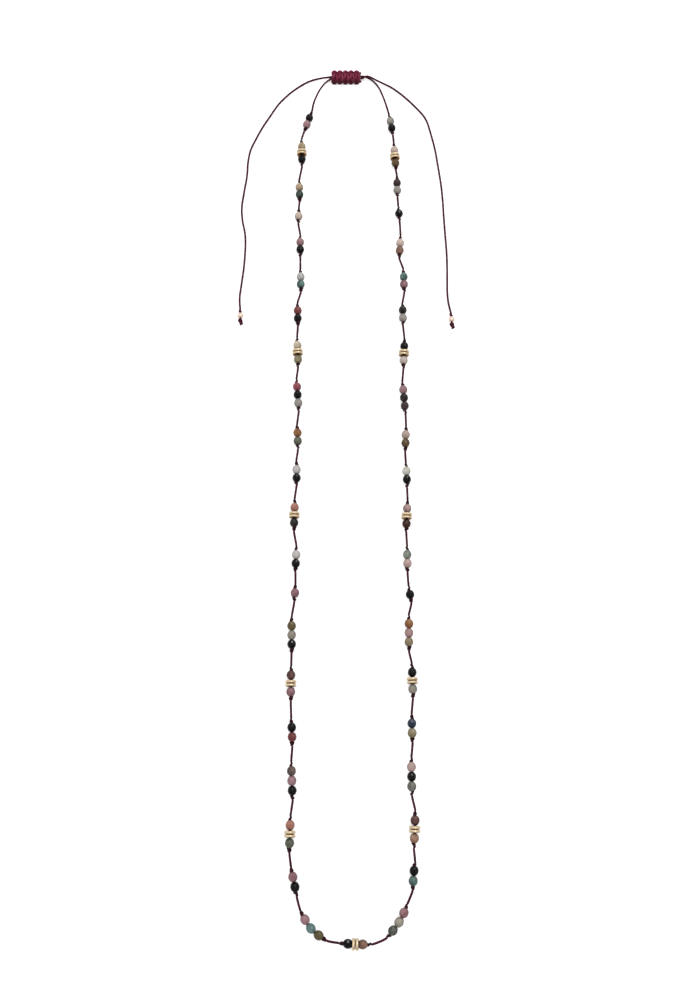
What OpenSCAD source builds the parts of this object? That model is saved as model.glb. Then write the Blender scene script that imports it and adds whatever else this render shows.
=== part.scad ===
// Long adjustable necklace (sautoir), lying flat and closed into its loop.
// Small groups of cut stone beads sit between overhand knots on one waxed cord.
// Eleven groups hold a pair of gold rings. A sliding knot closes the loop at the top,
// and the two cord ends leave it as free tails that end in a gold ball and a knot.
// Z is up and Z = 0 is the surface below. Y runs from the lowest group to the sliding knot.
// The origin is under the middle of the loop.

/* [Stones] */
// Diameter of a cut stone bead
stone_d = 4; // [3.6:0.1:4.2]
// Diameter of the hole through a stone bead
bore_d = 1.25; // [1.25:0.05:1.5]
// Distance between two neighbouring stones of a group
stone_pitch = 4.2; // [4:0.05:4.3]
// Flat cuts round the middle of a stone
girdle_cuts = 12; // [8:1:12]
// Bands of cuts from one end of a stone to the other
cut_bands = 7; // [5:2:9]

/* [Gold rings and balls] */
// Outer diameter of a gold ring
ring_d = 5.2; // [4.8:0.1:5.4]
// Thickness of a gold ring
ring_t = 1.4; // [1.3:0.1:1.7]
// Distance from a gold ring to the stone beside it, middle to middle
ring_to_stone = 3; // [2.8:0.05:3.1]
// Diameter of the gold ball on each tail
ball_d = 3.2; // [2.8:0.1:3.4]

/* [Cord] */
// Diameter of the waxed cord
cord_d = 1; // [0.8:0.05:1]
// Diameter of an overhand knot between the groups
knot_d = 2; // [1.6:0.1:2.2]
// Length of an overhand knot between the groups
knot_len = 1.4; // [1.2:0.1:1.8]
// Length of the small knot above a tail ball
stop_len = 1.4; // [1.2:0.1:1.6]
// Diameter of the end knot of a tail
end_knot_d = 2.6; // [2.2:0.1:2.8]
// Length of the end knot of a tail
end_knot_len = 3.2; // [2.6:0.1:3.6]

/* [Sliding knot] */
// Width of the sliding knot
hitch_w = 7.4; // [7:0.1:8]
// Thickness of the sliding knot
hitch_t = 3.6; // [3.4:0.1:3.8]

/* [Hidden] */
gap = 0.12;
hitch_count = 5;
hitch_pitch = 3;
curve_fn = 48;
tube_sides = 8;
span_ease = 0.35;
ring_pitch = ring_t + gap;
stone_len = stone_pitch - gap;
stone_to_knot = stone_len / 2 + gap + knot_len / 2;

// Sliding knot: its middle, its two cord holes and the side loops of each square knot
slide_mid = [-2.3, 213.3, hitch_t / 2];
slide_len = (hitch_count - 1) * hitch_pitch + hitch_t;
slide_left = slide_mid[0] - slide_len / 2;
slide_right = slide_mid[0] + slide_len / 2;
core_low = slide_mid[1] - 0.75;
core_high = slide_mid[1] + 0.75;
core_z = slide_mid[2];
loop_r = 1.6;

// Groups of a strand, from the sliding knot down. Columns: middle x, middle y,
// lean in degrees from straight down towards +X, stones by colour letter, gold rings,
// and, where a group lies in a curve, its bend in degrees per millimetre.
// A last column brings the stones of a group nearer to its rings
col_x = 0;
col_y = 1;
col_lean = 2;
col_stones = 3;
col_gold = 4;
col_bend = 5;
col_near = 6;
left_groups = [
    [-22.5, 186.5, -18, "KP", 0],
    [-25.5, 167.25, 1, "TK", 2],
    [-26.5, 145.5, 2, "TG", 0],
    [-26.75, 131, 0, "B", 0],
    [-25.75, 114.25, 1, "PK", 0],
    [-25.25, 95, 1, "LE", 0],
    [-26.5, 76.5, 1, "RK", 0],
    [-26.25, 56, 3, "CV", 2],
    [-26, 34, 5, "RKL", 0],
    [-25.75, 12.5, 2, "OF", 0],
    [-26, -6, 1, "LK", 0],
    [-26.75, -26.5, -1, "NS", 2],
    [-25.75, -47.5, -2, "LK", 0],
    [-26, -63.5, -4, "P", 0],
    [-27.25, -83, 1, "VAK", 0],
    [-27.25, -105, 0, "MP", 2],
    [-26.5, -126.5, 3, "KR", 0],
    [-26.25, -147.5, 3, "NPK", 0],
    [-26.75, -170, -1, "NF", 2],
    [-24.75, -189.75, 13, "PK", 0],
    [-17.25, -208.5, 43, "PEV", 0, 3.4]
];
right_groups = [
    [21, 184.5, 9, "LK", 0],
    [22.75, 165, 4, "BV", 2],
    [23.75, 148, 1, "UL", 0],
    [24.5, 132.5, 5, "K", 0],
    [24.75, 113.75, -3, "BN", 0],
    [26.5, 95, 1, "EM", 0],
    [25.75, 76.75, 1, "SA", 0],
    [26, 55.5, -3, "KL", 2],
    [25.75, 32.5, 4, "PSU", 0],
    [26.25, 11.5, -2, "BV", 0],
    [26.5, -6.75, 2, "CK", 0],
    [26.25, -27, -3, "MD", 2],
    [26.25, -47.5, 1, "FB", 0],
    [27.25, -64.25, 7, "K", 0],
    [26.5, -82, -1, "OMV", 0],
    [27.75, -103.75, 1, "KF", 2],
    [27.25, -124.75, 1, "SV", 0],
    [26.75, -145.75, 0, "BKL", 0],
    [27.75, -168, -3, "MN", 2],
    [27, -187.25, -6, "KE", 0],
    [20.5, -206, -34, "RAG", 0, -2.2]
];
// The lowest group, which both strands share: the left strand's way through it, then the right's
low_left = [1.75, -214.75, 88, "KN", 2, 1.2, 0.6];
low_right = [1.75, -214.75, 268, "NK", 2, -1.2, 0.6];

// Cord routes in the open, hand-laid in millimetres
lead_left = [
    [slide_right, core_low, core_z],
    [slide_left, core_low, core_z],
    [-11, 212.3, 1.8],
    [-12.7, 210.9, 1.8],
    [-14.7, 208.4, 1.9],
    [-17.2, 204, 2],
    [-19.5, 197.8, 2]
];
lead_right = [
    [slide_left, core_high, core_z],
    [slide_right, core_high, core_z],
    [6.5, 214, 1.7],
    [8.2, 213.7, 1.3],
    [10.7, 212.5, 1],
    [12.8, 210.3, 1.1],
    [15.1, 206.6, 1.4],
    [17.4, 200.1, 1.8],
    [19, 194.5, 2]
];
route_left = [
    [slide_left, core_high, core_z],
    [slide_left - 0.8, core_high, core_z],
    [-13.2, 213.7, 1.6],
    [-16, 213.2, 1.4],
    [-20.3, 212.3, 0.9],
    [-24.5, 210.4, 0.6],
    [-30.5, 206, 0.5],
    [-35.5, 201, 0.5],
    [-39, 196.5, 0.5],
    [-42.5, 190.5, 0.5],
    [-46.5, 183.5, 0.5],
    [-50, 176, 0.5],
    [-52.5, 169.5, 0.5],
    [-53.5, 162.5, 0.5],
    [-53.8, 155, 0.5],
    [-55, 146, 0.5],
    [-56, 137, 0.5],
    [-55.5, 129.5, 0.5],
    [-54, 122, 0.5],
    [-53.6, 114.5, 0.5],
    [-54, 104, 0.5],
    [-55, 94, 0.5],
    [-55.7, 87, 0.5],
    [-55.6, 83, 0.9]
];
route_right = [
    [slide_right, core_low, core_z],
    [slide_right + 0.8, core_low, core_z],
    [8.2, 213.4, 2.6],
    [10.6, 212.7, 2.6],
    [12.8, 211.6, 2.2],
    [16.3, 210.2, 1.5],
    [21.5, 207.8, 0.8],
    [25.5, 204.8, 0.5],
    [29.5, 201, 0.5],
    [34.5, 195.5, 0.5],
    [38, 191, 0.5],
    [40, 187, 0.5],
    [41.2, 182.5, 0.5],
    [42.5, 177, 0.5],
    [44, 169.5, 0.5],
    [45, 162, 0.5],
    [46.5, 150, 0.5],
    [47.2, 140, 0.5],
    [47.5, 131.5, 0.5],
    [48, 121, 0.5],
    [48.5, 110.5, 0.5],
    [48.5, 99, 0.5],
    [48.3, 90, 0.5],
    [48.6, 84.5, 0.6],
    [49.2, 80.5, 1]
];
// Gold ball of each tail: x, y and lean
end_left = [-55, 76, 3];
end_right = [50, 74, 4];
stop_at = -(ball_d / 2 + gap + stop_len / 2);
end_face = ball_d / 2 + gap;

// Colours of the cut stones, by the letters of the group tables
palette = [
    ["K", [0.09, 0.09, 0.10]],
    ["G", [0.16, 0.24, 0.20]],
    ["E", [0.38, 0.52, 0.50]],
    ["F", [0.40, 0.43, 0.38]],
    ["V", [0.36, 0.35, 0.24]],
    ["T", [0.68, 0.60, 0.47]],
    ["C", [0.80, 0.76, 0.69]],
    ["L", [0.72, 0.72, 0.70]],
    ["A", [0.58, 0.55, 0.54]],
    ["S", [0.28, 0.29, 0.32]],
    ["B", [0.78, 0.66, 0.62]],
    ["P", [0.65, 0.46, 0.50]],
    ["R", [0.60, 0.34, 0.38]],
    ["M", [0.56, 0.43, 0.44]],
    ["N", [0.62, 0.46, 0.40]],
    ["O", [0.66, 0.42, 0.28]],
    ["U", [0.30, 0.24, 0.30]],
    ["D", [0.30, 0.18, 0.20]]
];
cord_colour = [0.27, 0.11, 0.15];
knot_colour = [0.45, 0.13, 0.23];
gold_colour = [0.86, 0.71, 0.45];

function tint(letter) = palette[search([letter], palette)[0]][1];

// Places along a group: s is the distance from its middle towards its lower end
function height(g) = (g[col_gold] > 0 ? ring_d : stone_d) / 2;
function heading(lean) = [sin(lean), -cos(lean), 0];
function extra(g, column) = len(g) > column ? g[column] : 0;
function bend(g) = extra(g, col_bend);
function lean_at(g, s) = g[col_lean] + bend(g) * s;
function along(g, s) = [g[col_x], g[col_y], height(g)] + s * heading(lean_at(g, s / 2));
function pitch(g) = stone_pitch + bore_d * sin(abs(bend(g)) * stone_pitch / 2);
function reach(g) = g[col_gold] > 0 ? ring_pitch / 2 + ring_to_stone - extra(g, col_near)
    : (len(g[col_stones]) - 1) / 2 * pitch(g);
function stone_place(g, i) = g[col_gold] > 0 ? (i == 0 ? -1 : 1) * reach(g) : i * pitch(g) - reach(g);
function end_stone(g, side) = side < 0 ? 0 : len(g[col_stones]) - 1;
function in_bore(g, i, out) =
    let (s = stone_place(g, i))
    along(g, s) + out * heading(lean_at(g, s));

// Rings of a cord tube: [x, y, z, radius]
function ring(p, r = cord_d / 2) = [p[0], p[1], p[2], r];
function knot_rings(g, side) = [
    for (step = [[-0.5, cord_d], [-0.25, knot_d], [0.25, knot_d], [0.5, cord_d]])
        ring(in_bore(g, end_stone(g, side), side * stone_to_knot + step[0] * knot_len), step[1] / 2)
];
function bore_rings(g, i) = [for (e = [-0.5, 0.5]) ring(in_bore(g, i, e * stone_len))];
function group_rings(g) = concat(
    knot_rings(g, -1),
    [for (i = bend(g) == 0 ? [] : [0 : len(g[col_stones]) - 1]) each bore_rings(g, i)],
    knot_rings(g, 1)
);
function hermite(a, b, da, db, t) =
    (2 * t ^ 3 - 3 * t ^ 2 + 1) * a + (t ^ 3 - 2 * t ^ 2 + t) * da
    + (3 * t ^ 2 - 2 * t ^ 3) * b + (t ^ 3 - t ^ 2) * db;
function span_rings(g, h) =
    let (i = end_stone(g, 1),
        clear = stone_to_knot + knot_len / 2,
        a = in_bore(g, i, clear),
        b = in_bore(h, 0, -clear),
        away = heading(lean_at(g, stone_place(g, i))),
        towards = heading(lean_at(h, stone_place(h, 0))),
        pull = span_ease * norm(b - a))
    [for (t = [1 / 3, 2 / 3]) ring(hermite(a, b, pull * away, pull * towards, t))];
function strand_rings(lead, groups, low) = concat(
    [for (p = lead) ring(p)],
    [for (i = [0 : len(groups) - 1])
        each concat(group_rings(groups[i]), span_rings(groups[i], i < len(groups) - 1 ? groups[i + 1] : low))],
    knot_rings(low, -1),
    bore_rings(low, 0),
    [for (s = [-cord_d / 2, 0]) ring(along(low, 0) + s * heading(low[col_lean]))]
);

// A tail: its route with one more ring between each two points, then straight to its end knot
function halfway(p, i) =
    (9 * (p[i] + p[i + 1]) - p[max(i - 1, 0)] - p[min(i + 2, len(p) - 1)]) / 16;
function settled(p) = [p[0], p[1], max(p[2], cord_d / 2)];
function smooth_route(p) = concat(
    [p[0]],
    [for (i = [1 : len(p) - 2]) each [p[i], settled(halfway(p, i))]],
    [p[len(p) - 1]]
);
function tail_place(end, s) = [end[0], end[1], ball_d / 2] + s * heading(end[2]);
function tail_rings(route, end) = [
    for (p = concat(smooth_route(route), [tail_place(end, stop_at - stop_len), tail_place(end, end_face)]))
        ring(p)
];

// Tube through a list of rings, with a flat side underneath
function unit(v) = v / norm(v);
function ring_way(rings, i) =
    let (a = rings[max(i - 1, 0)], b = rings[min(i + 1, len(rings) - 1)])
    unit([b[0] - a[0], b[1] - a[1], b[2] - a[2]]);
function ring_points(rings, i) =
    let (way = ring_way(rings, i),
        side = unit(cross(way, [0, 0, 1])),
        up = cross(side, way))
    [for (k = [0 : tube_sides - 1])
        let (a = (k + 0.5) * 360 / tube_sides)
        [rings[i][0], rings[i][1], rings[i][2]] + rings[i][3] * (cos(a) * side + sin(a) * up)];

module tube(rings) {
    points = [for (i = [0 : len(rings) - 1]) each ring_points(rings, i)];
    last = (len(rings) - 1) * tube_sides;
    walls = [
        for (i = [0 : len(rings) - 2], k = [0 : tube_sides - 1])
            let (a = i * tube_sides + k, b = i * tube_sides + (k + 1) % tube_sides)
            each [[a, b, b + tube_sides], [a, b + tube_sides, a + tube_sides]]
    ];
    start_cap = [for (k = [tube_sides - 1 : -1 : 0]) k];
    end_cap = [for (k = [0 : tube_sides - 1]) last + k];
    polyhedron(points = points, faces = concat(walls, [start_cap, end_cap]), convexity = 10);
}

// Turns a piece made along Z to lie along a group or a tail
module lay(place, lean) {
    translate(place)
        rotate([0, 0, lean])
            rotate([90, 0, 0])
                children();
}

module lay_on(g, s) {
    lay(along(g, s), lean_at(g, s))
        children();
}

// Stone bead cut in flat bands, with flats round its middle and a hole from end to end
module cut_stone() {
    start = asin(bore_d / stone_d);
    step = (180 - 2 * start) / cut_bands;
    stretch = stone_len / stone_d / cos(start);
    profile = [
        for (i = [0 : cut_bands])
            let (a = start + i * step)
            stone_d / 2 * [sin(a), stretch * cos(a)]
    ];
    intersection() {
        rotate_extrude($fn = curve_fn)
            polygon(profile);
        cylinder(d = stone_d, h = stone_pitch, center = true, $fn = girdle_cuts);
    }
}

module strand_stones(groups, low) {
    for (g = groups, i = [0 : len(g[col_stones]) - 1])
        color(tint(g[col_stones][i]))
            lay_on(g, stone_place(g, i))
                cut_stone();
    color(tint(low[col_stones][0]))
        lay_on(low, stone_place(low, 0))
            cut_stone();
}

module stones_left() {
    strand_stones(left_groups, low_left);
}

module stones_right() {
    strand_stones(right_groups, low_right);
}

module thread_left() {
    color(cord_colour)
        tube(strand_rings(lead_left, left_groups, low_left));
}

module thread_right() {
    color(cord_colour)
        tube(strand_rings(lead_right, right_groups, low_right));
}

// The gold rings, counted down the left strand, through the lowest group and down the right strand
gold_rows = [for (g = concat(left_groups, [low_left], right_groups)) if (g[col_gold] > 0) g];
gold_places = [for (g = gold_rows, s = [-ring_pitch / 2, ring_pitch / 2]) [g, s]];

module gold_ring(i) {
    color(gold_colour)
        lay_on(gold_places[i][0], gold_places[i][1])
            rotate_extrude($fn = curve_fn)
                translate([(ring_d - ring_t) / 2, 0])
                    circle(d = ring_t, $fn = curve_fn);
}

// One square knot: a bar across the two cords with a loop at each side
module square_knot() {
    bar = hitch_w - 2 * loop_r;
    rotate([90, 0, 0])
        cylinder(d = hitch_t, h = bar, center = true, $fn = curve_fn);
    for (side = [-1, 1])
        translate([0, side * bar / 2, 0])
            sphere(r = loop_r, $fn = curve_fn);
}

module sliding_knot() {
    color(knot_colour)
        difference() {
            for (i = [0 : hitch_count - 1])
                translate(slide_mid + [(i - (hitch_count - 1) / 2) * hitch_pitch, 0, 0])
                    square_knot();
            for (y = [core_low, core_high])
                translate([slide_mid[0], y, core_z])
                    rotate([0, 90, 0])
                        cylinder(d = bore_d, h = slide_len + 2, center = true, $fn = curve_fn);
        }
}

// Barrel along Z: a knot drawn as a round body, with a hole where the cord runs on through it
module barrel(d, length, end_d, hole_d) {
    bands = 6;
    edge = [
        for (i = [0 : bands])
            let (a = 180 * i / bands)
            [end_d / 2 + (d - end_d) / 2 * sin(a), -length / 2 * cos(a)]
    ];
    rotate_extrude($fn = curve_fn)
        polygon(concat([[hole_d / 2, -length / 2]], edge, [[hole_d / 2, length / 2]]));
}

module tail_stop(end) {
    color(cord_colour)
        lay(tail_place(end, stop_at), end[2])
            barrel(knot_d, stop_len, bore_d + 2 * gap, bore_d);
}

module tail_ball(end) {
    color(gold_colour)
        lay(tail_place(end, 0), end[2])
            difference() {
                sphere(d = ball_d, $fn = curve_fn);
                cylinder(d = bore_d, h = ball_d + 2, center = true, $fn = curve_fn);
            }
}

module tail_knot(end) {
    color(cord_colour)
        lay(tail_place(end, end_face + end_knot_len / 2), end[2])
            barrel(end_knot_d, end_knot_len, cord_d, 0);
}

module tail_left() {
    color(cord_colour)
        tube(tail_rings(route_left, end_left));
}

module tail_right() {
    color(cord_colour)
        tube(tail_rings(route_right, end_right));
}

function ring_name(i) = str("gold_ring_", i < 9 ? "0" : "", i + 1);
ring_names = [for (i = [0 : len(gold_places) - 1]) ring_name(i)];

sliding_knot();
thread_left();
thread_right();
stones_left();
stones_right();
for (i = [0 : len(gold_places) - 1])
    gold_ring(i);
tail_left();
tail_right();
tail_stop(end_left);  // tail_stop_left
tail_stop(end_right);  // tail_stop_right
tail_ball(end_left);  // tail_ball_left
tail_ball(end_right);  // tail_ball_right
tail_knot(end_left);  // tail_knot_left
tail_knot(end_right);  // tail_knot_right
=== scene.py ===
# Long necklace of cut stones and gold rings, knotted on a twisted waxed cord
import math
import random

import bmesh
import bpy
import numpy as np
from mathutils import Matrix, Vector


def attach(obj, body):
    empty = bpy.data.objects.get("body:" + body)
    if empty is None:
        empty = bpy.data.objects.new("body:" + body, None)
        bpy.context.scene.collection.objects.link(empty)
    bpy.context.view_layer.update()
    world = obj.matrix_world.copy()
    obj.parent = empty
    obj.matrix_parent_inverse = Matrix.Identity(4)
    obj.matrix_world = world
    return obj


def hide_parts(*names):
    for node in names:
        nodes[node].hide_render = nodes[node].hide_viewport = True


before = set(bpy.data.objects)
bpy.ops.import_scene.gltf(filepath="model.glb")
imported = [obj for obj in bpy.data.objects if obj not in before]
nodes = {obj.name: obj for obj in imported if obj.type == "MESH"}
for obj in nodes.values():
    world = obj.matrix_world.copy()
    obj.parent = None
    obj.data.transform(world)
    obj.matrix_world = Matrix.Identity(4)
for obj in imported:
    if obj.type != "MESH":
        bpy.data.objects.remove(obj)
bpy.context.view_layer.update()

mm = 0.001  # the values below are in millimetres
fullTurn = 2 * math.pi

# Camera
cameraLook = {
    "aim": (-0.5, -19, 2),
    "distance": 500,
    "tilt": 15,  # degrees from straight down
    "lens": 38,
    "sensorHeight": 36,
}


def addObject(name, data):
    made = bpy.data.objects.new(name, data)
    bpy.context.collection.objects.link(made)
    return made


def placeCamera():
    tilt = math.radians(cameraLook["tilt"])
    data = bpy.data.cameras.new("camera")
    data.lens = cameraLook["lens"]
    data.sensor_fit = "VERTICAL"
    data.sensor_height = cameraLook["sensorHeight"]
    data.clip_start = 0.01
    camera = addObject("camera", data)
    aim = Vector(cameraLook["aim"]) * mm
    away = Vector((0, -math.sin(tilt), math.cos(tilt)))
    camera.location = aim + away * cameraLook["distance"] * mm
    camera.rotation_euler = (tilt, 0, 0)
    bpy.context.scene.camera = camera


placeCamera()
print("camera placed")

# Shader maths written as Python


class Wire:
    # one socket of a node, with the operators that the materials use
    def __init__(self, sheet, socket):
        self.sheet = sheet
        self.socket = socket

    def maths(self, operation, *values):
        return self.sheet.node("ShaderNodeMath", {"operation": operation}, *values)

    def __add__(self, other):
        return self.maths("ADD", self, other)

    def __radd__(self, other):
        return self.maths("ADD", other, self)

    def __sub__(self, other):
        return self.maths("SUBTRACT", self, other)

    def __rsub__(self, other):
        return self.maths("SUBTRACT", other, self)

    def __mul__(self, other):
        return self.maths("MULTIPLY", self, other)

    def __rmul__(self, other):
        return self.maths("MULTIPLY", other, self)

    def clamped(self):
        return self.sheet.node("ShaderNodeClamp", {}, self)


class Finish:
    # one material: its nodes and its Principled shader
    def __init__(self, name, **fixed):
        self.material = bpy.data.materials.new(name)
        self.material.use_nodes = True
        self.tree = self.material.node_tree
        self.shader = self.tree.nodes["Principled BSDF"]
        for socket, value in fixed.items():
            self.shader.inputs[socket.replace("_", " ")].default_value = value

    def node(self, kind, settings, *values, out=0, **named):
        made = self.tree.nodes.new(kind)
        for setting, value in settings.items():
            setattr(made, setting, value)
        for place, value in enumerate(values):
            self.link(value, made.inputs[place])
        for socket, value in named.items():
            self.link(value, made.inputs[socket.replace("_", " ")])
        return Wire(self, made.outputs[out])

    def link(self, value, socket):
        if isinstance(value, Wire):
            self.tree.links.new(value.socket, socket)
        else:
            socket.default_value = value

    def blend(self, share, low, high):
        made = self.tree.nodes.new("ShaderNodeMix")
        made.data_type = "RGBA"
        for socket, value in zip((made.inputs[0], made.inputs[6], made.inputs[7]), (share, low, high)):
            self.link(value, socket)
        return Wire(self, made.outputs[2])

    def attribute(self, name, out="Fac"):
        return self.node("ShaderNodeAttribute", {"attribute_name": name}, out=out)

    def noise(self, place, scale, detail, **more):
        return self.node("ShaderNodeTexNoise", {}, Vector=place, Scale=scale, Detail=detail, **more)

    def spread(self, value, low, high, top=1.0):
        # 0 below low, and top above high
        return self.node("ShaderNodeMapRange", {}, value, low, high, 0.0, top)

    def bump(self, look, height):
        strength, grain = look["bump"], look["grain"]
        return self.node("ShaderNodeBump", {}, Strength=strength, Distance=grain, Height=height)

    def stretched(self, place, scale):
        return self.node("ShaderNodeVectorMath", {"operation": "MULTIPLY"}, place, scale)

    def feed(self, **sockets):
        for socket, value in sockets.items():
            self.link(value, self.shader.inputs[socket.replace("_", " ")])


def tone(red, green, blue):
    # a screen colour of 0 to 255 as linear light
    return tuple(
        c / 12.92 if c <= 0.04045 else ((c + 0.055) / 1.055) ** 2.4
        for c in (red / 255, green / 255, blue / 255)
    ) + (1.0,)


def eased(share):
    # a share of 0 to 1 that starts and ends gently
    return share * share * (3 - 2 * share)


# Lines in space, as arrays of points


def smoothLine(points, steps=10):
    p = np.array(points, float)
    p = np.vstack([2 * p[0] - p[1], p, 2 * p[-1] - p[-2]])
    t = np.linspace(0, 1, steps, endpoint=False)[:, None]
    stretches = [
        0.5 * (
            2 * b + (c - a) * t + (2 * a - 5 * b + 4 * c - d) * t**2
            + (3 * b - a - 3 * c + d) * t**3
        )
        for a, b, c, d in zip(p[:-3], p[1:-2], p[2:-1], p[3:])
    ]
    return np.vstack([*stretches, p[-2:-1]])


def runAlong(line):
    return np.concatenate([[0], np.cumsum(np.linalg.norm(np.diff(line, axis=0), axis=1))])


def evenly(line, spacing):
    run = runAlong(line)
    at = np.linspace(0, run[-1], max(int(round(run[-1] / spacing)) + 1, 8))
    return np.stack([np.interp(at, run, line[:, k]) for k in range(3)], axis=1)


def bridge(start, end, startWay, endWay, ease, steps=14):
    # a smooth span of cord from one knot to the next
    t = np.linspace(0, 1, steps)[:, None]
    reach = ease * np.linalg.norm(end - start)
    return (
        (2 * t**3 - 3 * t**2 + 1) * start
        + (t**3 - 2 * t**2 + t) * reach * startWay
        + (3 * t**2 - 2 * t**3) * end
        + (t**3 - t**2) * reach * endWay
    )


# Tying knots: a loose knot is pulled short, and its strands push each other apart


def pushApart(points, pairs, shifts, reach):
    a, b = pairs
    for _ in range(4):
        apart = points[b] + shifts - points[a]
        distance = np.linalg.norm(apart, axis=1)
        touch = distance < reach
        if not touch.any():
            break
        short = 0.5 * (reach - distance[touch])
        push = apart[touch] / distance[touch, None] * short[:, None]
        move = np.zeros_like(points)
        count = np.zeros((len(points), 1))
        np.add.at(move, b[touch], push)
        np.add.at(move, a[touch], -push)
        np.add.at(count, b[touch], 1)
        np.add.at(count, a[touch], 1)
        points = points + 1.5 * move / np.maximum(count, 1)
    return points


overhandTie = {
    "spacing": 0.2,  # of the cord's thickness, as the rest here is
    "squeeze": 0.82,  # how near two strands' middles may come
    "rounds": 700,
    "pull": 0.25,
    "loose": 2.6,  # how far the loose loop stands out
    "tails": 3,
    "height": 1.6,  # of the loose coil, from its middle
    "radius": 0.75,
    "offLine": 0.3,  # a point this far off the cord's line is in the knot
    "lead": 1.25,  # how far the knot's own piece of cord reaches, in half lengths of the knot
    "easePoints": 5,
    "fill": 1.2,  # thickness of the cord in a knot, against the one that it was tied with
}


def tieOverhand():
    tie = overhandTie
    height = tie["height"]
    radius = tie["radius"]
    s = np.linspace(0, 1, 60)
    turn = 3 * np.pi * s
    down = height * (1 - 2 * s)
    first = np.stack([radius * np.cos(turn), radius * np.sin(turn), down], axis=1)
    second = first * (-1, -1, 1)
    swing = np.linspace(0, np.pi, 60)[1:-1]
    wide = radius + (tie["loose"] - radius) * np.sin(swing)
    loop = np.stack([-wide, 0 * swing, -height * np.cos(swing) * (1 + 0.5 * np.sin(swing))], axis=1)
    rise = np.linspace(0, 1, 30)
    lead = np.stack([radius * rise, 0 * rise, height + tie["tails"] * (1 - rise)], axis=1)
    loose = [lead[:-1], first, loop, second, -lead[::-1][1:]]
    line = evenly(np.concatenate(loose), tie["spacing"])
    for turnCount in range(tie["rounds"]):
        line[1:-1] += tie["pull"] * (0.5 * (line[2:] + line[:-2]) - line[1:-1])
        pairs = np.triu_indices(len(line), k=math.ceil(1.5 / tie["spacing"]))
        ends = line[[0, -1]].copy()
        line = pushApart(line, pairs, 0, tie["squeeze"])
        line[[0, -1]] = ends
        if turnCount % 5 == 4:
            line = evenly(line, tie["spacing"])
    return line


# Twisted cord: a lobed outline swept along a line, turned once for each lay
twist = {
    "plies": 3,
    "lay": 2.8,
    "depth": 0.14,  # of the groove between two plies
}


def cordPiece(name, line, width, lay=twist["lay"], plyPoints=5, radii=None, shade=None):
    plies = twist["plies"]
    count = plies * plyPoints
    outline = bpy.data.curves.new(name + "Outline", "CURVE")
    outline.dimensions = "2D"
    edge = outline.splines.new("POLY")
    edge.points.add(count - 1)
    edge.use_cyclic_u = True
    angles = np.arange(count) / count * fullTurn
    groove = np.abs(np.sin(angles * plies / 2 + np.pi / 2)) ** 0.8  # 0 between two plies, 1 on a ply
    reach = width / 2 * (1 - twist["depth"] * (1 - groove)) * mm
    for point, far, angle in zip(edge.points, reach, angles):
        point.co = (far * math.cos(angle), far * math.sin(angle), 0, 1)
    outlineObject = addObject(name + "Outline", outline)

    curve = bpy.data.curves.new(name + "Curve", "CURVE")
    curve.dimensions = "3D"
    curve.bevel_mode = "OBJECT"
    curve.bevel_object = outlineObject
    curve.use_fill_caps = True
    spline = curve.splines.new("POLY")
    spline.points.add(len(line) - 1)
    run = runAlong(line)
    spline.points.foreach_set("co", np.column_stack([line * mm, np.ones(len(line))]).ravel())
    spline.points.foreach_set("tilt", run / lay * fullTurn)
    if radii is not None:
        spline.points.foreach_set("radius", radii)
    curveObject = addObject(name + "Curve", curve)
    swept = curveObject.evaluated_get(bpy.context.evaluated_depsgraph_get())
    mesh = bpy.data.meshes.new_from_object(swept)
    mesh.name = name

    # where each point would be on the cord laid out straight, for its fibres
    straight = np.zeros((len(mesh.vertices), 3))
    ring = np.stack([np.cos(angles), np.sin(angles), 0 * angles], axis=1)
    body = len(line) * count
    straight[:body] = np.tile(ring, (len(line), 1))
    straight[:body, 2] = np.repeat(run, count)
    # painted shade: the crest mark darkens the colour in the grooves between plies, and further by the
    # shade given
    crest = np.ones(len(mesh.vertices))
    crest[:body] = np.tile(groove, len(line))
    if shade is not None:
        crest[:body] *= np.repeat(shade, count)
    mark(mesh, "straight", straight)
    mark(mesh, "crest", crest)
    closeSeams(mesh)
    mesh.polygons.foreach_set("use_smooth", [True] * len(mesh.polygons))
    bpy.data.objects.remove(curveObject)
    bpy.data.objects.remove(outlineObject)
    return addObject(name, mesh)


def mark(mesh, name, values):
    # a value, place or colour for each point of a mesh, for its material to read
    kind, field = {
        1: ("FLOAT", "value"),
        3: ("FLOAT_VECTOR", "vector"),
        4: ("FLOAT_COLOR", "color"),
    }[np.size(values) // len(mesh.vertices)]
    mesh.attributes.new(name, kind, "POINT").data.foreach_set(field, np.ravel(values))


def closeSeams(mesh):
    bm = bmesh.new()
    bm.from_mesh(mesh)
    bmesh.ops.remove_doubles(bm, verts=bm.verts, dist=0.0005 * mm)
    bmesh.ops.recalc_face_normals(bm, faces=bm.faces)
    bm.to_mesh(mesh)
    bm.free()


def finishPiece(piece, material, slotName, *replaced):
    piece.data.materials.clear()
    piece.data.materials.append(material)
    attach(piece, "root")
    if replaced:
        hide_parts(*replaced)
    return piece


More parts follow.
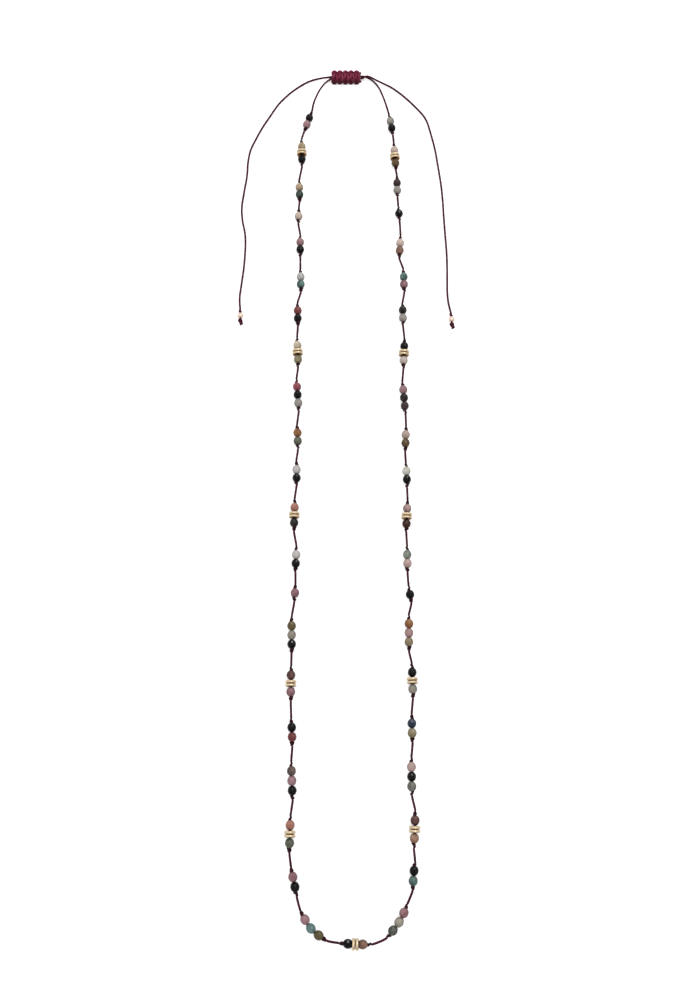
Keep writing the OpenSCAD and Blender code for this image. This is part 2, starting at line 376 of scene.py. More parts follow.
# Free tails of the cord, laid along the route of their solids
cordLook = {
    "width": 1.2,  # on the strands
    "tail": 1.1,
    "spacing": 0.3,  # from one ring of points to the next, on a tail
    "fine": 0.28,  # the same on a strand
    "tiedShade": 0.15,  # how light the cord is where it is tied
}
tailEnd = {
    "ball": 3.2,
    "gap": 0.12,
    "stopLength": 1.4,
    "stopWidth": 1.8,
    "stopSpin": 0.7,  # how the knot is turned about the cord
    "knotLength": 3.2,
    "knotWidth": 2.6,
    "knotSpin": 2.1,
    "fill": 1.02,  # thickness of the cord in these knots
    "left": (-55, 76, 3),  # the ball's middle, and the cord's lean there in degrees
    "right": (50, 74, 4),
}
routeLeft = [
    (-9.6, 213.7, 1.8), (-10.9, 213.5, 1.8), (-13.2, 213.3, 1.6), (-16, 213, 1.4),
    (-20.3, 212.2, 0.9), (-24.5, 210.4, 0.6), (-30.5, 206, 0.5), (-35.5, 201, 0.5),
    (-39, 196.5, 0.5), (-42.5, 190.5, 0.5), (-46.5, 183.5, 0.5), (-50, 176, 0.5),
    (-52.5, 169.5, 0.5), (-53.5, 162.5, 0.5), (-53.8, 155, 0.5), (-55, 146, 0.5),
    (-56, 137, 0.5), (-55.5, 129.5, 0.5), (-54, 122, 0.5), (-53.6, 114.5, 0.5),
    (-54, 104, 0.5), (-55, 94, 0.5), (-55.7, 87, 0.5), (-55.6, 83, 0.9),
]
routeRight = [
    (5.5, 212.7, 1.8), (6.3, 212.8, 1.8), (8.2, 213.4, 2.6), (10.6, 212.7, 2.6),
    (12.8, 211.6, 2.2), (16.3, 210.2, 1.5), (21.5, 207.8, 0.8), (25.5, 204.8, 0.5),
    (29.5, 201, 0.5), (34.5, 195.5, 0.5), (38, 191, 0.5), (40, 187, 0.5),
    (41.2, 182.5, 0.5), (42.5, 177, 0.5), (44, 169.5, 0.5), (45, 162, 0.5),
    (46.5, 150, 0.5), (47.2, 140, 0.5), (47.5, 131.5, 0.5), (48, 121, 0.5),
    (48.5, 110.5, 0.5), (48.5, 99, 0.5), (48.3, 90, 0.5), (48.6, 84.5, 0.6),
    (49.2, 80.5, 1),
]


def tailPlace(end, along):
    lean = math.radians(end[2])
    place = np.array([end[0], end[1], tailEnd["ball"] / 2])
    return place + along * np.array([math.sin(lean), -math.cos(lean), 0])


def layTail(side, route):
    end = tailEnd[side]
    stopTop = -(tailEnd["ball"] / 2 + tailEnd["gap"] + tailEnd["stopLength"])
    knotTop = tailEnd["ball"] / 2 + tailEnd["gap"]
    points = route + [tuple(tailPlace(end, stopTop)), tuple(tailPlace(end, knotTop))]
    line = smoothLine(points)
    line[:, 2] = np.maximum(line[:, 2], cordLook["tail"] / 2)
    return evenly(line, cordLook["spacing"])


tailLines = {"left": layTail("left", routeLeft), "right": layTail("right", routeRight)}


def measureTie(line):
    # centres the tied knot, and gives its size in cord widths and the points that are its own
    off = np.linalg.norm(line[:, :2], axis=1)
    inside = np.flatnonzero(off > overhandTie["offLine"])
    core = line[inside[0]: inside[-1] + 1]
    size = core.max(axis=0) - core.min(axis=0) + 1
    line[:, 2] -= (core[:, 2].max() + core[:, 2].min()) / 2
    print("overhand knot tied from", len(line), "points, in cord widths:", np.round(size, 2))
    width = (size[0] + size[1]) / 2
    return {"first": inside[0], "last": inside[-1], "width": width, "length": size[2]}


overhand = tieOverhand()
tied = measureTie(overhand)


def knotLine(middle, way, width, spin, taper=0.0):
    # the tied knot at its place on a cord: points, and each one's share of the cord's width
    scale = width / tied["width"]
    local = overhand * scale
    rim = np.abs(local[:, 2]) / (tied["length"] / 2 * scale)
    index = np.arange(len(local))
    own = (index > tied["first"]) & (index < tied["last"])
    local = local[(rim < overhandTie["lead"]) | own]
    index = np.arange(len(local))
    ease = np.clip(np.minimum(index, len(local) - 1 - index) / overhandTie["easePoints"], 0, 1)
    widen = 1 + taper * np.clip(2 * local[:, 2] / (tied["length"] * scale), -1, 1)
    local[:, :2] *= (eased(ease) * widen)[:, None]
    way = np.array(way) / np.linalg.norm(way)
    side = np.cross(way, (0, 0, 1))
    side /= np.linalg.norm(side)
    up = np.cross(side, way)
    across = math.cos(spin) * side + math.sin(spin) * up
    other = math.cos(spin) * up - math.sin(spin) * side
    points = np.array(middle) + local[:, :1] * across + local[:, 1:2] * other - local[:, 2:] * way
    thin = 1 + ease * (overhandTie["fill"] * scale / cordLook["width"] * widen - 1)
    return points, thin


# Sliding knot: five square knots of one cord in front of the two core cords and one behind
slidingKnot = {
    "middle": (-2.3, 213.3, 1.8),
    "coreApart": 1.2,
    "pitch": 2.95,
    "count": 5,
    "cord": 1.4,
    "lay": 4.2,
    "spacing": 0.25,
    "pitShade": 0.9,
    "pitReach": 1.1,  # how far off a strand still covers a point, in cord widths
    "pitFull": 6,  # so many points above make it as dark as it gets
    "creaseShade": ((-2.9, 0.8, 1), (1.6, 0.5, 0.9)),  # painted shade bands along the creases: how far from the middle, how wide, how deep
    "heart": 1.3,  # filling between the two core cords, painted dark as the shade there
    "heartDrop": 0.2,
    "heartShade": 0.3,
}
squareTie = {
    "squeeze": 0.7,
    "rounds": 700,
    "pull": 0.25,
    "loosePitch": 6,
    "spacing": 0.2,  # of the cord's thickness
    "coreCord": 1.1,
    "halfHeight": 1.8,
}
looseSquare = [
    (-1.1, 3.6, -0.2), (-0.7, 2.8, 0), (-0.7, 1.6, 1.4), (-0.8, 0, 1.7),
    (-1.7, -1.6, 1.4), (-2, -2.8, 0), (-1.6, -3.4, -1.2), (0, -3.5, -1.6),
]


def tieSquare():
    # one square knot whose cords run on into the next one, pulled tight round the cores
    tie = squareTie
    thick = slidingKnot["cord"]
    spacing = tie["spacing"] * thick
    loose = [(-tie["loosePitch"] / 2, 3.6, -0.3)] + looseSquare
    loose = np.array(loose + [(-x, y, z) for x, y, z in loose[::-1][1:]], float)
    front = evenly(loose, spacing)[:-1]
    lastPitch = tie["loosePitch"]
    coreReach = tie["coreCord"] / 2 + thick / 2 * tie["squeeze"]
    for turnCount in range(tie["rounds"]):
        share = min(1, turnCount / (0.6 * tie["rounds"]))
        pitch = tie["loosePitch"] + (slidingKnot["pitch"] - tie["loosePitch"]) * share
        front[:, 0] *= pitch / lastPitch
        lastPitch = pitch
        step = np.array([pitch, 0, 0])
        following = np.roll(front, -1, axis=0)
        following[-1] += step
        before = np.roll(front, 1, axis=0)
        before[0] -= step
        front += tie["pull"] * (0.5 * (following + before) - front)
        points = np.vstack([front, front * (1, -1, -1)])
        pairs, shifts = squarePairs(len(front), step)
        points = pushApart(points, pairs, shifts, thick * tie["squeeze"])
        for y in (-slidingKnot["coreApart"] / 2, slidingKnot["coreApart"] / 2):
            away = points[:, 1:] - (y, 0)
            distance = np.linalg.norm(away, axis=1)
            touch = distance < coreReach
            short = coreReach - distance[touch]
            points[touch, 1:] += away[touch] / distance[touch, None] * short[:, None]
        room = tie["halfHeight"] - thick / 2
        points[:, 2] = np.clip(points[:, 2], -room, room)
        front = 0.5 * (points[: len(front)] + points[len(front):] * (1, -1, -1))
        if turnCount % 5 == 4:
            front = evenly(np.vstack([front, front[:1] + step]), spacing)[:-1]
    return front


def squarePairs(count, step):
    # which points may touch: of both cords, within one knot and from one knot to the next
    skip = math.ceil(1.5 / squareTie["spacing"])
    a, b = np.triu_indices(2 * count, k=1)
    near = ((a < count) == (b < count)) & (b - a < skip)
    a, b = a[~near], b[~near]
    c, d = (side.ravel() for side in np.indices((2 * count, 2 * count)))
    near = ((c < count) == (d < count)) & (d + count - c < skip)
    c, d = c[~near], d[~near]
    shifts = np.vstack([np.zeros((len(a), 3)), np.tile(step, (len(c), 1))])
    return (np.concatenate([a, c]), np.concatenate([b, d])), shifts


# Materials
stoneTones = {
    # letter: the body of the stone and the veins in it
    "K": ((2, 2, 3), (20, 18, 22)),
    "G": ((24, 38, 30), (72, 88, 76)),
    "g": ((80, 82, 76), (24, 32, 30)),
    "E": ((56, 78, 75), (100, 126, 119)),
    "Q": ((80, 108, 106), (118, 138, 134)),
    "F": ((71, 77, 65), (100, 96, 78)),
    "f": ((118, 122, 112), (92, 100, 90)),
    "Y": ((128, 118, 94), (92, 82, 54)),
    "Z": ((88, 78, 50), (54, 48, 26)),
    "z": ((92, 72, 46), (60, 42, 22)),
    "T": ((156, 138, 114), (132, 108, 82)),
    "C": ((178, 170, 150), (154, 138, 112)),
    "c": ((184, 183, 176), (158, 150, 134)),
    "L": ((128, 124, 118), (148, 142, 136)),
    "W": ((156, 153, 152), (172, 166, 166)),
    "w": ((172, 161, 152), (150, 138, 128)),
    "A": ((124, 118, 108), (146, 138, 128)),
    "H": ((108, 105, 99), (16, 14, 14)),
    "S": ((24, 22, 22), (62, 62, 58)),
    "s": ((26, 36, 54), (58, 64, 76)),
    "B": ((174, 156, 146), (182, 164, 152)),
    "b": ((162, 140, 134), (140, 114, 110)),
    "P": ((130, 96, 102), (148, 116, 120)),
    "p": ((114, 80, 85), (136, 102, 106)),
    "R": ((116, 60, 60), (90, 40, 42)),
    "r": ((132, 72, 80), (110, 50, 60)),
    "M": ((152, 124, 121), (120, 90, 88)),
    "J": ((92, 63, 58), (60, 32, 32)),
    "N": ((124, 94, 80), (98, 70, 58)),
    "X": ((152, 106, 92), (122, 80, 64)),
    "x": ((146, 118, 100), (118, 88, 70)),
    "I": ((74, 61, 58), (100, 82, 76)),
    "O": ((134, 90, 58), (98, 58, 30)),
    "U": ((56, 42, 43), (34, 20, 24)),
    "D": ((56, 30, 22), (34, 12, 10)),
}
stoneFinish = {
    "clouds": 420.0,
    "cloudRange": (0.42, 0.62),  # noise at which the clouds start, and are full
    "cloudRough": 0.14,
    "flecks": 1800.0,
    "fleckRange": (0.52, 0.7),
    "fleckShare": 0.7,
    "fleckRough": 0.08,
    "fleckTone": (0.02, 0.016, 0.018, 1),
    "polish": 0.15,  # roughness where nothing dulls it
    "dullRough": 0.22,
    "bump": 0.25,
    "grain": 0.000012,
    "level": 0.82,  # of every tone above
    "glossy": "KSsUGE",  # the kinds with the brightest polish
    "plain": ("K", 0.4),  # a kind with fainter veins, and their share
}
goldFinish = {
    "tone": (188, 170, 142),
    "deep": (168, 146, 112),  # in the haze
    "groove": (104, 74, 38),  # painted shade tone, down the lower sides and on the flank at the lower stone
    "roughness": 0.2,
}
ballFinish = {
    "tone": (200, 180, 168),
    "deep": (182, 162, 146),
    # painted shade tone, for the same marks as on the rings
    "groove": (118, 100, 78),
    "roughness": 0.26,
}
goldGrain = {
    "smudges": 500.0,
    "hazeRange": (0.4, 0.7),
    "hazeShare": 0.5,
    "hazeRough": 0.14,
    "scratches": 6000.0,
    "bump": 0.12,
    "grain": 0.000008,
}
# groove tone: painted shade in the grooves between plies, in knots and in pits, also reached by darker
# fibres; crest tone: the cord's own colour; dust: real wear
cordFinish = {"groove": (12, 0, 4), "crest": (66, 12, 30), "dust": (96, 46, 60)}
knotFinish = {"groove": (34, 0, 8), "crest": (124, 36, 64), "dust": (140, 74, 94)}
cordGrain = {
    "fibres": (7.0, 7.0, 1.2),  # finer round the cord than along it
    "fibreScale": 1.6,
    "threadRange": (0.3, 0.7),
    "crestShare": 0.7,
    "threadShare": 0.35,
    "patches": (0.2, 0.2, 0.12),
    "wornRange": (0.45, 0.7),
    "wornShare": 0.6,
    "roughness": 0.62,
    "waxed": 0.16,  # how much smoother the threads on top are
    "bump": 0.6,
    "grain": 0.00006,
}


def stoneMaterial():
    stone = Finish("cutStone", Specular_IOR_Level=0.08)
    place = stone.node("ShaderNodeTexCoord", {}, out=3)
    tint = stone.attribute("tint", "Color")
    vein = stone.attribute("vein", "Color")
    depth = stone.attribute("depth")
    dull = stone.attribute("dull")
    clouds = stone.noise(place, stoneFinish["clouds"], 4.0)
    flecks = stone.noise(place, stoneFinish["flecks"], 5.0, Roughness=0.7)
    cloudy = stone.spread(clouds, *stoneFinish["cloudRange"])
    mottled = stone.blend(cloudy * depth, tint, vein)
    spots = stone.spread(flecks, *stoneFinish["fleckRange"], stoneFinish["fleckShare"])
    colour = stone.blend(spots * depth, mottled, stoneFinish["fleckTone"])
    rough = stoneFinish["polish"] + stoneFinish["dullRough"] * dull
    rough = rough + stoneFinish["cloudRough"] * cloudy * depth + stoneFinish["fleckRough"] * spots
    bump = stone.bump(stoneFinish, flecks)
    stone.feed(Base_Color=colour, Roughness=rough, Normal=bump)
    return stone.material


def goldMaterial(name, look):
    gold = Finish(name, Metallic=1.0)
    place = gold.node("ShaderNodeTexCoord", {}, out=3)
    haze = gold.spread(gold.noise(place, goldGrain["smudges"], 3.0), *goldGrain["hazeRange"])
    colour = gold.blend(haze * goldGrain["hazeShare"], tone(*look["tone"]), tone(*look["deep"]))
    # painted shade: the groove tone down the lower sides and on the flank at the lower stone
    colour = gold.blend(gold.attribute("side"), colour, tone(*look["groove"]))
    colour = gold.blend(gold.attribute("flank"), colour, tone(*look["groove"]))
    scratches = gold.noise(place, goldGrain["scratches"], 3.0)
    rough = look["roughness"] + goldGrain["hazeRough"] * haze
    gold.feed(Base_Color=colour, Roughness=rough, Normal=gold.bump(goldGrain, scratches))
    return gold.material


def cordMaterial(name, look):
    cord = Finish(name, Specular_IOR_Level=0.1)
    straight = cord.attribute("straight", "Vector")
    crest = cord.attribute("crest")
    along = cord.stretched(straight, cordGrain["fibres"])
    fibres = cord.noise(along, cordGrain["fibreScale"], 4.0, Roughness=0.65)
    patches = cord.noise(cord.stretched(straight, cordGrain["patches"]), 1.0, 3.0)
    worn = cord.spread(patches, *cordGrain["wornRange"])
    threads = cord.spread(fibres, *cordGrain["threadRange"])
    # painted shade: dark in the grooves and wherever the crest mark is shaded; the fibre threads vary it
    # too
    raised = (crest * cordGrain["crestShare"] + threads * cordGrain["threadShare"]).clamped()
    colour = cord.blend(raised, tone(*look["groove"]), tone(*look["crest"]))
    colour = cord.blend(worn * raised * cordGrain["wornShare"], colour, tone(*look["dust"]))
    rough = cordGrain["roughness"] - cordGrain["waxed"] * threads
    cord.feed(Base_Color=colour, Roughness=rough, Normal=cord.bump(cordGrain, fibres))
    return cord.material


stoneSurface = stoneMaterial()
goldSurface = goldMaterial("paleGold", goldFinish)
ballSurface = goldMaterial("rosyGold", ballFinish)
cordSurface = cordMaterial("waxedCord", cordFinish)
knotSurface = cordMaterial("knotCord", knotFinish)
print("materials made")

# Cut stones
stoneCut = {
    "radius": 2,
    "blank": 4.8,  # the cube that a stone is cut from
    "facetDepth": 1.98,  # from the middle to a facet
    # each row's height in degrees, its facets, and its turn in facets
    "rows": ((0, 12, 0), (25, 12, 0.5), (-25, 12, 0.5), (50, 9, 0), (-50, 9, 0)),
    "endFace": 1.87,
    "length": 4.08,
    "rim": 0.17,
    "edge": 0.045,
    "rimShade": 0.45,  # painted shade: tone of the sides of a stone, against its top
    "rimHeight": 0.8,  # height over its middle, in radii, from which a stone is as light as its top
}
stoneChance = {
    "slim": (0.98, 1),
    "shade": (0.94, 1.06),
    "cast": (0.97, 1.03),  # for red, green and blue alike
    "veins": (0.35, 0.95),
    "dull": (0.5, 1),
}
# the kinds of stone down each strand, a word for each group
# the seed also turns each stone about the cord, and so it says which black ones catch the light
leftStones = {
    "kinds": "KP TK TG B PK WE RK CY rKL OF WK XS WK p ZAK Jp KR IPK XF pK PQZ K",
    "seed": 23189,
}
rightStones = {
    "kinds": "LK Bz UL K BN Ep SL Kw PSU bz cK MD fb K OMY KA sY bKH Jx KE pAg N",
    "seed": 22348,
}


def cutFlat(bm, distance, normal):
    whole = bm.verts[:] + bm.edges[:] + bm.faces[:]
    made = bmesh.ops.bisect_plane(
        bm, geom=whole, dist=0.0001, plane_co=normal * distance, plane_no=normal, clear_outer=True
    )
    rim = [part for part in made["geom_cut"] if isinstance(part, bmesh.types.BMEdge)]
    if rim:
        bmesh.ops.contextual_create(bm, geom=rim)


def cutStone():
    bm = bmesh.new()
    bmesh.ops.create_cube(bm, size=stoneCut["blank"])
    for rise, count, turn in stoneCut["rows"]:
        for i in range(count):
            way = fullTurn * (i + turn) / count
            up = math.radians(rise)
            flat = Vector((math.cos(up) * math.cos(way), math.cos(up) * math.sin(way), math.sin(up)))
            cutFlat(bm, stoneCut["facetDepth"], flat)
    for end in (-1, 1):
        cutFlat(bm, stoneCut["endFace"], Vector((0, 0, end)))
    bmesh.ops.bevel(
        bm, geom=bm.edges[:], offset=stoneCut["edge"], offset_type="OFFSET", segments=1,
        profile=0.5, affect="EDGES", material=-1, clamp_overlap=True,
    )
    ends = [max(bm.faces, key=lambda f: f.calc_center_median().z * s) for s in (-1, 1)]
    bmesh.ops.inset_region(bm, faces=ends, thickness=stoneCut["rim"])
    mouths = [edge for face in ends for edge in face.edges]
    bmesh.ops.delete(bm, geom=ends, context="FACES_ONLY")
    bmesh.ops.bridge_loops(bm, edges=mouths)
    stretch = stoneCut["length"] / 2 / stoneCut["endFace"]
    bmesh.ops.scale(bm, vec=(mm, mm, stretch * mm), verts=bm.verts)
    bmesh.ops.recalc_face_normals(bm, faces=bm.faces)
    mesh = bpy.data.meshes.new("stoneShape")
    bm.to_mesh(mesh)
    bm.free()
    return mesh


def looseParts(node):
    # the separate solids of a node, each as its points in millimetres
    bm = bmesh.new()
    bm.from_mesh(nodes[node].data)
    bmesh.ops.remove_doubles(bm, verts=bm.verts, dist=0.0005 * mm)
    left = set(bm.verts)
    parts = []
    while left:
        part = [left.pop()]
        for vert in part:
            for edge in vert.link_edges:
                other = edge.other_vert(vert)
                if other in left:
                    left.discard(other)
                    part.append(other)
        parts.append(np.array([vert.co for vert in part]) / mm)
    bm.free()
    return parts


def stonePlaces(node):
    # middle and drilling direction of each stone, from the top of the strand down
    places = []
    for points in looseParts(node):
        middle = points.mean(axis=0)
        away = points - middle
        ends = away[np.argsort(np.linalg.norm(away, axis=1))[-24:]]  # the two rims of twelve points
        way = np.linalg.svd(ends)[2][0]
        places.append((middle, way))
    places.sort(key=lambda place: -place[0][1])
    ordered = []
    for i, (middle, way) in enumerate(places):
        other = places[i + 1][0] - middle if i + 1 < len(places) else middle - places[i - 1][0]
        ordered.append((middle, way if np.dot(way, other) > 0 else -way))
    return ordered


def threadStone(bm, shape, middle, way, chance):
    # one more stone on the strand, turned and slimmed at random, and its points
    first = len(bm.verts)
    bm.from_mesh(shape)
    bm.verts.ensure_lookup_table()
    fresh = bm.verts[first:]
    turn = Vector(way).to_track_quat("Z", "Y").to_matrix().to_4x4()
    spin = Matrix.Rotation(chance.uniform(0, fullTurn), 4, "Z")
    slim = chance.uniform(*stoneChance["slim"])
    size = Matrix.Diagonal((slim, slim, 1, 1))
    place = Matrix.Translation(Vector(middle) * mm)
    bmesh.ops.transform(bm, matrix=place @ turn @ spin @ size, verts=fresh)
    sunk = min(0, *(vert.co.z for vert in fresh))
    bmesh.ops.translate(bm, vec=(0, 0, -sunk), verts=fresh)
    return fresh


def stoneLook(fresh, middle, kind, chance):
    # body tone and vein tone, both with painted shade down the sides, depth of the veins and dullness, a
    # row for each point of one stone
    shade = stoneFinish["level"] * chance.uniform(*stoneChance["shade"])
    cast = [chance.uniform(*stoneChance["cast"]) for _ in range(3)]
    # painted shade: each point's colour darker down the stone's sides, lighter on top
    rise = np.array([(vert.co.z / mm - middle[2]) / stoneCut["radius"] for vert in fresh])
    rim = stoneCut["rimShade"]
    lit = rim + (1 - rim) * eased(np.clip(rise / stoneCut["rimHeight"], 0, 1))
    lit = np.stack([lit, lit, lit, np.ones_like(lit)], axis=1)
    body, vein = (np.array(tone(*levels)) * (shade, shade, shade, 1) for levels in stoneTones[kind])
    plain, share = stoneFinish["plain"]
    depth = chance.uniform(*stoneChance["veins"]) * (share if kind == plain else 1)
    dull = 0.0 if kind in stoneFinish["glossy"] else chance.uniform(*stoneChance["dull"])
    tint = np.clip(body * (*cast, 1) * lit, 0, 1)
    return np.hstack([tint, np.clip(vein * lit, 0, 1), np.tile((depth, dull), (len(fresh), 1))])


def strandStones(name, node, places, stones):
    shape = cutStone()
    chance = random.Random(stones["seed"])
    bm = bmesh.new()
    looks = []
    for (middle, way), kind in zip(places, stones["kinds"].replace(" ", "")):
        fresh = threadStone(bm, shape, middle, way, chance)
        looks.append(stoneLook(fresh, middle, kind, chance))
    mesh = bpy.data.meshes.new(name)
    bm.to_mesh(mesh)
    bm.free()
    looks = np.vstack(looks)
    mark(mesh, "tint", looks[:, :4])
    mark(mesh, "vein", looks[:, 4:8])
    mark(mesh, "depth", looks[:, 8])
    mark(mesh, "dull", looks[:, 9])
    finishPiece(addObject(name, mesh), stoneSurface, "stone", node)
    print(name, len(places), "stones,", len(mesh.polygons), "faces")


placesLeft = stonePlaces("stones_left")
placesRight = stonePlaces("stones_right")
strandStones("stonesLeft", "stones_left", placesLeft, leftStones)
strandStones("stonesRight", "stones_right", placesRight, rightStones)

# The strands: one cord each, with a tied knot above and below every group
strand = {
    "knotAbove": 1.75,  # width of the knot above a group, and of the wider one below it
    "knotBelow": 1.95,
    "knotChance": (0.93, 1.05),
    "knotToStone": 2.85,  # middle to middle
    "taper": 0.22,  # how much wider a knot is beside its stone
    "spanEase": 0.35,
    "bore": 1.9,  # from the middle of a stone to the ends of its hole
    "groupReach": 9,  # stones nearer than this are in one group
    "entry": 1.4,  # where the lead ends, above the first knot
    "leadWidth": 0.95,  # of the lead at the sliding knot, against a tail
    "leadEven": 0.7,  # share of the lead that has this width
}
leadLeft = [
    (5.5, 212.7, 1.8), (-9.6, 212.4, 1.8), (-11, 211.9, 1.8), (-12.7, 210.7, 1.8),
    (-14.7, 208.4, 1.9), (-17.2, 204, 2), (-19.5, 197.8, 2),
]
leadRight = [
    (-10.1, 213.9, 1.8), (5.5, 213.9, 1.8), (6.5, 213.9, 1.7), (8.2, 213.7, 1.3),
    (10.7, 212.5, 1), (12.8, 210.3, 1.1), (15.1, 206.6, 1.4), (17.4, 200.1, 1.8), (19, 194.5, 2),
]


def groupStones(places):
    groups = []
    for middle, way in places:
        if groups and np.linalg.norm(middle - groups[-1][-1][0]) < strand["groupReach"]:
            groups[-1].append((middle, way))
        else:
            groups.append([(middle, way)])
    return groups


def tieOn(middle, way, side, chance):
    # a knot above (side -1) or below (side 1) the stone with this middle
    size = strand["knotBelow" if side > 0 else "knotAbove"] * chance.uniform(*strand["knotChance"])
    spin = chance.uniform(0, fullTurn)
    place = middle + way * strand["knotToStone"] * side
    return knotLine(place, way, size, spin, strand["taper"] * side)


def threadStrand(name, node, places, lead, seed, stop):
    chance = random.Random(seed)
    groups = groupStones(places)
    middle, way = groups[0][0]
    entry = middle - way * (strand["knotToStone"] + strand["entry"])
    leadLine = smoothLine(lead + [tuple(entry)])[:-1]
    stretches = [(leadLine, np.ones(len(leadLine)))]
    for group in groups:
        knot, thin = tieOn(*group[0], -1, chance)
        if group is not groups[0]:
            start = stretches[-1][0][-1]
            span = bridge(start, knot[0], lastWay, group[0][1], strand["spanEase"])[1:-1]
            stretches.append((span, np.ones(len(span))))
        stretches.append((knot, thin))
        bores = [stone + axis * side * strand["bore"] for stone, axis in group for side in (-1, 1)]
        if group is groups[-1]:
            bores.append(stop)
        stretches.append((np.array(bores), np.ones(len(bores))))
        if group is not groups[-1]:
            stretches.append(tieOn(*group[-1], 1, chance))
            lastWay = group[-1][1]
    line = np.vstack([points for points, thin in stretches])
    run = runAlong(line)
    at = np.linspace(0, run[-1], int(run[-1] / cordLook["fine"]))
    even = np.stack([np.interp(at, run, line[:, k]) for k in range(3)], axis=1)
    radii = np.interp(at, run, np.concatenate([thin for points, thin in stretches]))
    shade = np.where((radii < 0.97) | (radii > 1.03), cordLook["tiedShade"], 1)
    leadEnd = runAlong(leadLine)[-1]
    leadWidth = cordLook["tail"] / cordLook["width"] * strand["leadWidth"]
    radii *= np.interp(at, [0, leadEnd * strand["leadEven"], leadEnd], [leadWidth, leadWidth, 1])
    piece = cordPiece(name, even, cordLook["width"], plyPoints=4, radii=radii, shade=shade)
    finishPiece(piece, cordSurface, "cord", node)
    print(name, len(groups), "groups,", len(even), "rings of points,", len(piece.data.polygons), "faces")


lowest = (placesLeft[-1][0] + placesRight[-1][0]) / 2
threadStrand("threadLeft", "thread_left", placesLeft, leadLeft, 3, lowest)
threadStrand("threadRight", "thread_right", placesRight, leadRight, 7, lowest)


def covered(line, others):
    # how far each point of a cord lies in a pit, under the strands that cross above it: 0 to 1
    away = others[None] - line[:, None]
    beside = np.linalg.norm(away[..., :2], axis=2) < slidingKnot["pitReach"] * slidingKnot["cord"]
    above = np.clip(away[..., 2] / slidingKnot["cord"] - 0.2, 0, 1)
    return np.clip((beside * above).sum(axis=1) / slidingKnot["pitFull"], 0, 1)


def makeSlidingKnot():
    # the two working cords as one piece
    front = tieSquare()
    halfWidth = float(np.abs(front[:, 1]).max() + slidingKnot["cord"] / 2)
    print("square knot tied, half width", round(halfWidth, 2))
    step = np.array([slidingKnot["pitch"], 0, 0])
    middle = np.array(slidingKnot["middle"])
    cords = {}
    for name, flip in (("frontCord", (1, 1, 1)), ("backCord", (1, -1, -1))):
        line = np.vstack([front + step * (i - 2) for i in range(slidingKnot["count"])])
        line = np.vstack([line, front[:1] + step * 3]) * flip + middle
        cords[name] = evenly(line, slidingKnot["spacing"])
    strands = np.vstack(list(cords.values()))
    joined = bmesh.new()
    for name, line in cords.items():
        # painted shade: darker in the pits under crossing strands and along the creases
        shade = 1 - slidingKnot["pitShade"] * covered(line, strands)
        for at, wide, deep in slidingKnot["creaseShade"]:
            across = line[:, 1] - middle[1] - at
            shade *= 1 - deep * np.exp(-((across / wide) ** 2))
        thick = slidingKnot["cord"]
        addCord(joined, name, line, thick, lay=slidingKnot["lay"], plyPoints=6, shade=shade)
    reach = step * slidingKnot["count"] / 2
    # painted shade: a dark filling cord between the two core cords
    heart = np.vstack([middle - reach, middle + reach]) - (0, 0, slidingKnot["heartDrop"])
    heart = evenly(heart, 2 * slidingKnot["spacing"])
    dim = np.full(len(heart), slidingKnot["heartShade"])
    addCord(joined, "heart", heart, slidingKnot["heart"], shade=dim)
    mesh = bpy.data.meshes.new("slidingKnot")
    joined.to_mesh(mesh)
    joined.free()
    finishPiece(addObject("slidingKnot", mesh), knotSurface, "knot_cord", "sliding_knot")
    print("sliding knot made,", len(mesh.polygons), "faces")


def addCord(bm, *cord, **look):
    piece = cordPiece(*cord, **look)
    bm.from_mesh(piece.data)
    bpy.data.objects.remove(piece)


makeSlidingKnot()


def makeTails():
    for side, line in tailLines.items():
        end = tailEnd[side]
        piece = cordPiece("tail" + side.title(), line, cordLook["tail"])
        finishPiece(piece, cordSurface, "cord", "tail_" + side)
        way = tailPlace(end, 1) - tailPlace(end, 0)
        for kind, after in (("stop", -1), ("knot", 1)):
            along = after * (tailEnd["ball"] / 2 + tailEnd["gap"] + tailEnd[kind + "Length"] / 2)
            width = tailEnd[kind + "Width"]
            points, thin = knotLine(tailPlace(end, along), way, width, tailEnd[kind + "Spin"])
            thick = width / tied["width"] * tailEnd["fill"]
            knot = cordPiece("tail" + kind.title() + side.title(), evenly(points, 0.2), thick)
            finishPiece(knot, cordSurface, "cord", "tail_" + kind + "_" + side)
        print("tail", side, round(float(runAlong(line)[-1]), 1), "mm long")


makeTails()


# Gold rings and balls: the nodes of the frame, the rings with painted shade
ringShade = {
    "from": 0.5,  # of a ring's half length, where the painted shade on its flank starts, and where it is full
    "to": 0.9,
    "atRing": 0.08,  # how much of that painted shade a flank has beside the other ring, and at the upper stone
    "sides": 0.6,  # painted shade: how much deeper the gold is down the sides of a ring
    "topShare": 0.8,  # height from which the gold is as light as on top
}


def pointsAndMiddle(mesh):
    points = np.array([vert.co for vert in mesh.vertices])
    return points, (points.max(axis=0) + points.min(axis=0)) / 2


def paintRingShade(mesh, other):
    # painted shade: a ring is painted brown on the flank at its lower stone, and deeper down its lower
    # sides
    points, middle = pointsAndMiddle(mesh)
    away = points - middle
    axis = np.linalg.svd(away, full_matrices=False)[2][2]
    axis *= -1 if axis[1] > 0 else 1
    along = away @ axis
    start, full = ringShade["from"], ringShade["to"]
    flank = eased(np.clip((np.abs(along) / along.max() - start) / (full - start), 0, 1))
    outer = (along > 0) & (other @ axis < middle @ axis)
    rise = np.clip(away[:, 2] / (ringShade["topShare"] * away[:, 2].max()), 0, 1)
    mark(mesh, "flank", flank * np.where(outer, 1, ringShade["atRing"]))
    mark(mesh, "side", ringShade["sides"] * (1 - rise))


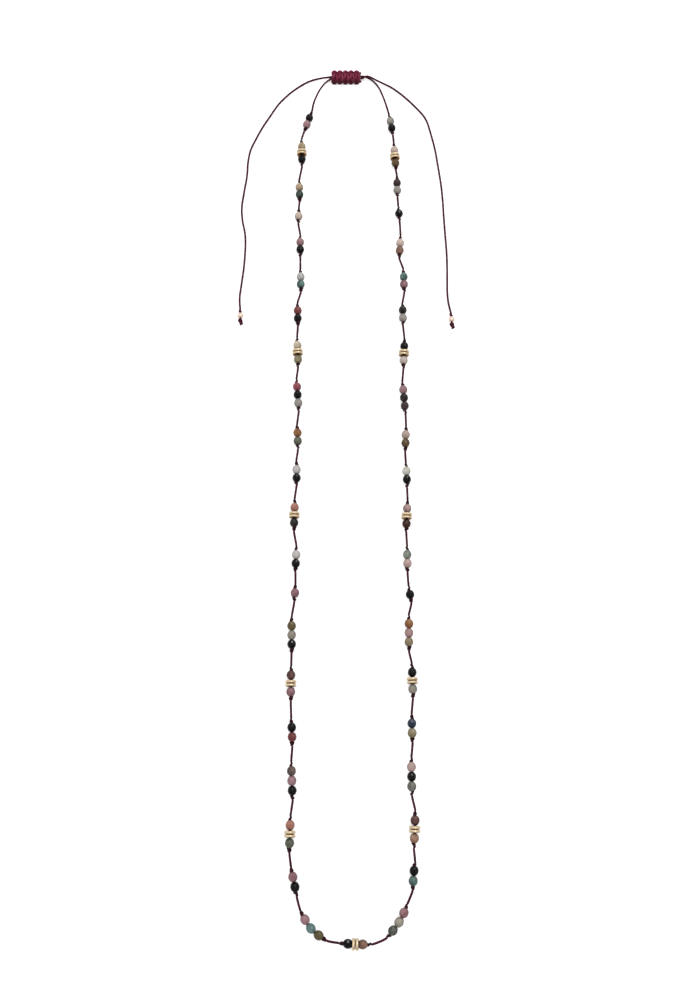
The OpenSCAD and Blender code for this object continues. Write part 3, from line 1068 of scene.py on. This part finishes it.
def shadeRings():
    rings = [node.data for name, node in nodes.items() if name.startswith("gold_ring")]
    middles = [pointsAndMiddle(mesh)[1] for mesh in rings]
    for mesh, own in zip(rings, middles):
        nearest = sorted(middles, key=lambda middle: np.linalg.norm(middle - own))[1]
        paintRingShade(mesh, nearest)
    print(len(rings), "rings worn")


for name, node in nodes.items():
    if name.startswith(("gold_ring", "tail_ball")):
        node.data.materials.clear()
        node.data.materials.append(goldSurface if "ring" in name else ballSurface)
shadeRings()

# Floor and light
studio = {
    "floor": 6,  # metres, as all sizes of the studio
    "paper": 0.93,
    "sky": 1.6,  # overhead and behind the top of the loop
    "horizon": 0.12,  # low down in front
    "skyWay": (-0.1, 0.4, 0.91),
    "skyFrom": -0.45,  # where along that way the sky starts to brighten, and is bright
    "skyTo": 0.55,
    "key": 1.8,
    "keyPlace": (0.27, 0.25, 0.95),
    "glow": 0.2,
    "cardSize": 0.16,
    "glint": 13,  # cards that show only as the highlights on the stones
    "glintPlaces": ((0.2, 0.24, 0.86), (0.22, 0.75, 0.6)),
    "glintSize": 0.34,
}


def makeStudio():
    bm = bmesh.new()
    bmesh.ops.create_grid(bm, x_segments=1, y_segments=1, size=studio["floor"] / 2)
    mesh = bpy.data.meshes.new("floor")
    bm.to_mesh(mesh)
    bm.free()
    floor = addObject("floor", mesh)
    pale = studio["paper"]
    paper = Finish(
        "whitePaper", Roughness=0.9, Specular_IOR_Level=0.1, Base_Color=(pale, pale, pale, 1),
        Emission_Color=(1, 1, 1, 1), Emission_Strength=studio["glow"],
    )
    mesh.materials.append(paper.material)
    lightSky()
    hangCard("key", studio["key"], studio["cardSize"], studio["keyPlace"])
    stones = bpy.data.collections.new("stones")
    for name in ("stonesLeft", "stonesRight"):
        stones.objects.link(bpy.data.objects[name])
    for place in studio["glintPlaces"]:
        glint = hangCard("glint", studio["glint"], studio["glintSize"], place)
        glint.visible_diffuse = False
        glint.light_linking.receiver_collection = stones
    bpy.context.scene.view_settings.view_transform = "Standard"


def hangCard(name, energy, size, place):
    light = bpy.data.lights.new(name, "AREA")
    light.energy = energy
    light.size = size
    lamp = addObject(name, light)
    lamp.location = place
    lamp.rotation_euler = (-lamp.location).to_track_quat("-Z", "Y").to_euler()
    return lamp


def lightSky():
    # a soft sky in place of a light tent: bright overhead, dim low down
    world = bpy.data.worlds.new("studio")
    world.use_nodes = True
    tree = world.node_tree
    place = tree.nodes.new("ShaderNodeTexCoord")
    facing = tree.nodes.new("ShaderNodeVectorMath")
    facing.operation = "DOT_PRODUCT"
    facing.inputs[1].default_value = Vector(studio["skyWay"]).normalized()
    fade = tree.nodes.new("ShaderNodeMapRange")
    fade.interpolation_type = "SMOOTHSTEP"
    for socket, key in zip(fade.inputs[1:5], ("skyFrom", "skyTo", "horizon", "sky")):
        socket.default_value = studio[key]
    tree.links.new(place.outputs["Generated"], facing.inputs[0])
    tree.links.new(facing.outputs["Value"], fade.inputs["Value"])
    tree.links.new(fade.outputs["Result"], tree.nodes["Background"].inputs["Strength"])
    tree.nodes["Background"].inputs["Color"].default_value = (1, 1, 1, 1)
    bpy.context.scene.world = world


makeStudio()
print("studio lit")
